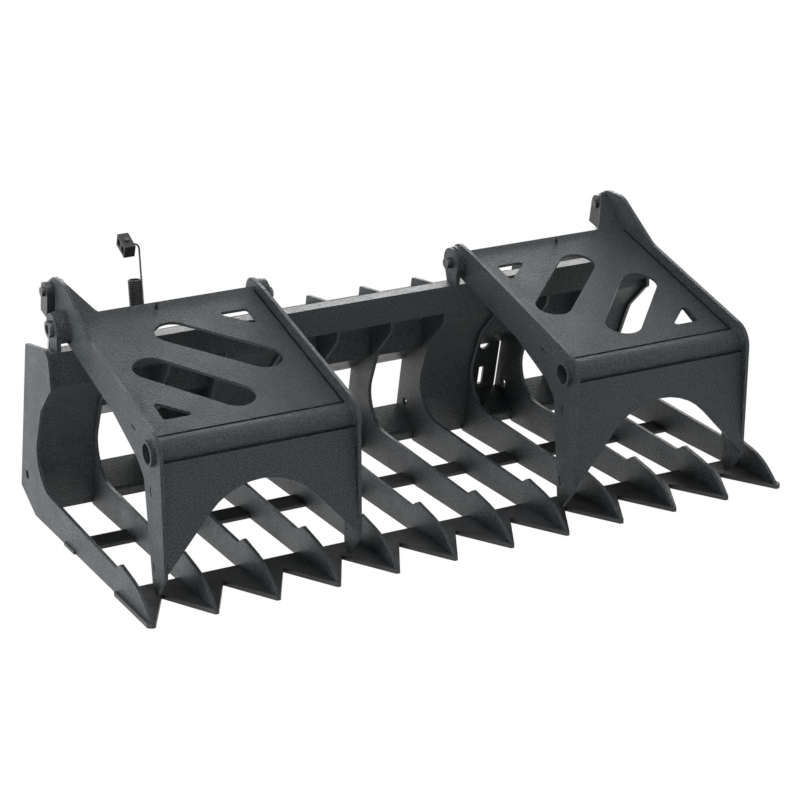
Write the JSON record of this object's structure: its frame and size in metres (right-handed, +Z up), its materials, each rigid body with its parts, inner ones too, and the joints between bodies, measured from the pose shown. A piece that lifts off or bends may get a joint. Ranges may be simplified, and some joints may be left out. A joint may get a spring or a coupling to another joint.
{
  "type": "skid steer grapple",
  "caption": "Root grapple for a skid steer loader: a floor of upright tines with a toothed cutting edge, and two hinged lids that hydraulic cylinders swing open.",
  "frame": {"origin": "middle of the footprint, on the ground plane under the cutting edge", "axes": "+X across the width, +Y from the tine tips back towards the loader, +Z up"},
  "size_m": [1.8292, 0.9988, 0.772],
  "materials": {
    "powder_coat": "charcoal powder coat with a fine texture",
    "edge_steel": "charcoal powder coat, satin",
    "cylinder_paint": "dark grey enamel",
    "chromed_rod": "hard chrome",
    "plated_steel": "dark phosphated steel",
    "black_steel": "black, semi-matte",
    "black_polymer": "black polypropylene"
  },
  "bodies": {
    "frame": {"side_plate_left": "powder_coat", "side_plate_right": "powder_coat", "tine_02": "powder_coat", "tine_03": "powder_coat", "tine_04": "powder_coat", "tine_05": "powder_coat", "tine_06": "powder_coat", "tine_07": "powder_coat", "tine_08": "powder_coat", "tine_09": "powder_coat", "tine_10": "powder_coat", "tine_11": "powder_coat", "cutting_edge": "edge_steel", "mid_bar": "edge_steel", "rear_sill": "powder_coat", "top_beam": "powder_coat", "torque_box": "powder_coat", "quick_attach_plate": "powder_coat", "hook_lip": "powder_coat", "guard_plates": "powder_coat", "hinge_ears_outer_left": "powder_coat", "hinge_ears_outer_right": "powder_coat", "hinge_ears_inner_left": "powder_coat", "hinge_ears_inner_right": "powder_coat", "hinge_pins": "plated_steel", "hinge_pin_collars": "plated_steel", "base_pins": "plated_steel", "base_pin_spacers": "plated_steel", "hose_bracket": "powder_coat", "hose_spring": "black_steel", "clamp_halves": "black_polymer", "clamp_covers": "black_steel", "clamp_bolt": "black_steel"},
    "left_lid": {"outer_arm_left": "powder_coat", "inner_arm_left": "powder_coat", "top_plate_left": "powder_coat", "front_tube_left": "powder_coat", "front_plate_left": "powder_coat", "arm_hubs_left": "powder_coat", "grease_fitting_left": "black_steel"},
    "left_rod": {"rod_left": "chromed_rod", "clevis_left": "cylinder_paint", "piston_left": "black_polymer", "rod_pin_left": "plated_steel"},
    "left_barrel": {"barrel_left": "cylinder_paint", "gland_left": "cylinder_paint"},
    "right_lid": {"outer_arm_right": "powder_coat", "inner_arm_right": "powder_coat", "top_plate_right": "powder_coat", "front_tube_right": "powder_coat", "front_plate_right": "powder_coat", "arm_hubs_right": "powder_coat", "grease_fitting_right": "black_steel"},
    "right_rod": {"rod_right": "chromed_rod", "clevis_right": "cylinder_paint", "piston_right": "black_polymer", "rod_pin_right": "plated_steel"},
    "right_barrel": {"barrel_right": "cylinder_paint", "gland_right": "cylinder_paint"}
  },
  "joints": [
    {"name": "left_lid_hinge", "type": "hinge", "parent": "frame", "child": "left_lid", "pos_m": [-0.8337, 0.18562, 0.575], "axis": [-1, 0, 0], "range_deg": [0, 60]},
    {"name": "left_rod_pivot", "type": "hinge", "parent": "left_lid", "child": "left_rod", "pos_m": [-0.8337, 0.28562, 0.648], "axis": [1, 0, 0], "range_deg": [0, 62]},
    {"name": "left_cylinder_stroke", "type": "slide", "parent": "left_rod", "child": "left_barrel", "axis": [0, -0.2613, 0.9653], "range_m": [0, 0.126]},
    {"name": "right_lid_hinge", "type": "hinge", "parent": "frame", "child": "right_lid", "pos_m": [0.8337, 0.18562, 0.575], "axis": [-1, 0, 0], "range_deg": [0, 60]},
    {"name": "right_rod_pivot", "type": "hinge", "parent": "right_lid", "child": "right_rod", "pos_m": [0.8337, 0.28562, 0.648], "axis": [1, 0, 0], "range_deg": [0, 62]},
    {"name": "right_cylinder_stroke", "type": "slide", "parent": "right_rod", "child": "right_barrel", "axis": [0, -0.2613, 0.9653], "range_m": [0, 0.126]}
  ],
  "couplings": [
    {"joint": "left_rod_pivot", "follows": "left_lid_hinge", "ratio": 1.0168},
    {"joint": "left_cylinder_stroke", "follows": "left_lid_hinge", "m_per_rad": 0.11787},
    {"joint": "right_rod_pivot", "follows": "right_lid_hinge", "ratio": 1.0168},
    {"joint": "right_cylinder_stroke", "follows": "right_lid_hinge", "m_per_rad": 0.11787}
  ]
}
